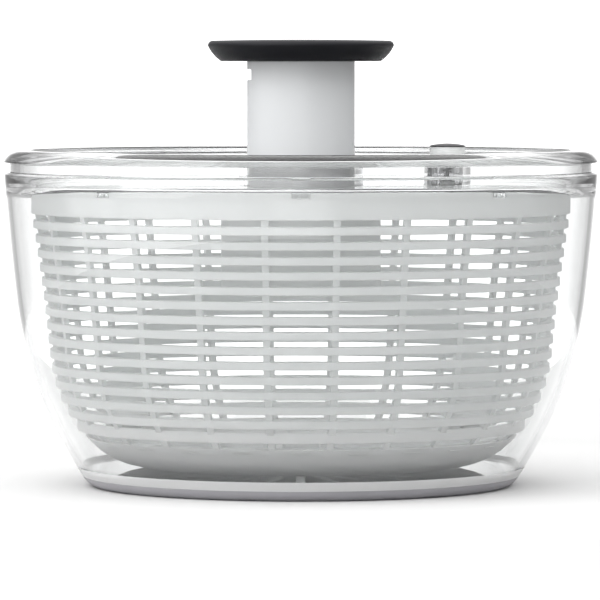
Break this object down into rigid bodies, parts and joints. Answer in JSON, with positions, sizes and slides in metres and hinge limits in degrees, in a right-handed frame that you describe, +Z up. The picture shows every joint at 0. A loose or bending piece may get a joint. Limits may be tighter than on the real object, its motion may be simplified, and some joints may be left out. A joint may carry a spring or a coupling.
{
  "type": "salad spinner",
  "caption": "Pump-action salad spinner: clear bowl and lid, slotted basket, black knob on a white plunger, push brake and storage lock.",
  "frame": {"origin": "on the axis of spin, at the underside of the foot ring", "axes": "+Z up along the axis of spin; -X towards the latch window in the plunger, +X towards the brake button; the front is -Y"},
  "size_m": [0.2666, 0.2666, 0.1998],
  "materials": {
    "clear_plastic": "clear styrene plastic, polished",
    "milky_plastic": "translucent milky polypropylene, fine satin",
    "white_plastic": "opaque white, satin gloss",
    "white_acetal": "natural white acetal",
    "black_soft": "soft-touch skin, matt",
    "black_plastic": "black, fine satin",
    "foot_rubber": "translucent grey-white elastomer",
    "spring_steel": "bright drawn wire and pressed steel"
  },
  "bodies": {
    "bowl": {"bowl": "clear_plastic", "foot_ring": "foot_rubber"},
    "lid": {"lid_shell": "clear_plastic", "bearing_ring": "white_acetal", "retaining_clip": "spring_steel", "return_spring": "spring_steel", "brake_spring": "spring_steel"},
    "plunger": {"plunger_tube": "white_plastic", "knob_core": "black_plastic", "knob_grip": "black_soft", "drive_nut": "white_acetal"},
    "lock": {"lock_slider": "black_plastic", "lock_latch": "white_acetal"},
    "screw": {"drive_screw": "white_acetal", "clutch_driver": "white_acetal", "thrust_washer": "spring_steel"},
    "drive": {"drive_plate": "clear_plastic", "drive_well": "milky_plastic", "well_screws": "spring_steel", "clutch_ring": "white_acetal", "screw_bearing": "white_acetal"},
    "brake": {"brake_button": "black_plastic", "brake_stem": "white_acetal", "brake_pad": "black_soft"},
    "basket": {"basket": "milky_plastic"}
  },
  "joints": [
    {"name": "lid_lift", "type": "slide", "parent": "bowl", "child": "lid", "axis": [0, 0, 1], "range_m": [0, 0.3]},
    {"name": "pump", "type": "slide", "parent": "lid", "child": "plunger", "axis": [0, 0, -1], "range_m": [0, 0.04], "stiffness_N_per_m": 400, "springref_m": -0.03, "deforming": ["return_spring"]},
    {"name": "screw_spin", "type": "hinge", "parent": "lid", "child": "screw", "pos_m": [0, 0, 0.1], "axis": [0, 0, 1], "range_deg": [0, 720]},
    {"name": "plate_spin", "type": "hinge", "parent": "lid", "child": "drive", "pos_m": [0, 0, 0.1315], "axis": [0, 0, 1], "continuous": true},
    {"name": "basket_release", "type": "slide", "parent": "drive", "child": "basket", "axis": [0, 0, -1], "range_m": [0, 0.15]},
    {"name": "brake_press", "type": "slide", "parent": "lid", "child": "brake", "axis": [0, 0, -1], "range_m": [0, 0.0014], "stiffness_N_per_m": 1500, "springref_m": -0.002, "deforming": ["brake_spring"]},
    {"name": "lock_slide", "type": "slide", "parent": "plunger", "child": "lock", "axis": [-1, 0, 0], "range_m": [0, 0.0045]}
  ],
  "couplings": [
    {"joint": "screw_spin", "follows": "pump", "rad_per_m": 314.16},
    {"joint": "basket_release", "follows": "lid_lift", "ratio": 0.5}
  ]
}
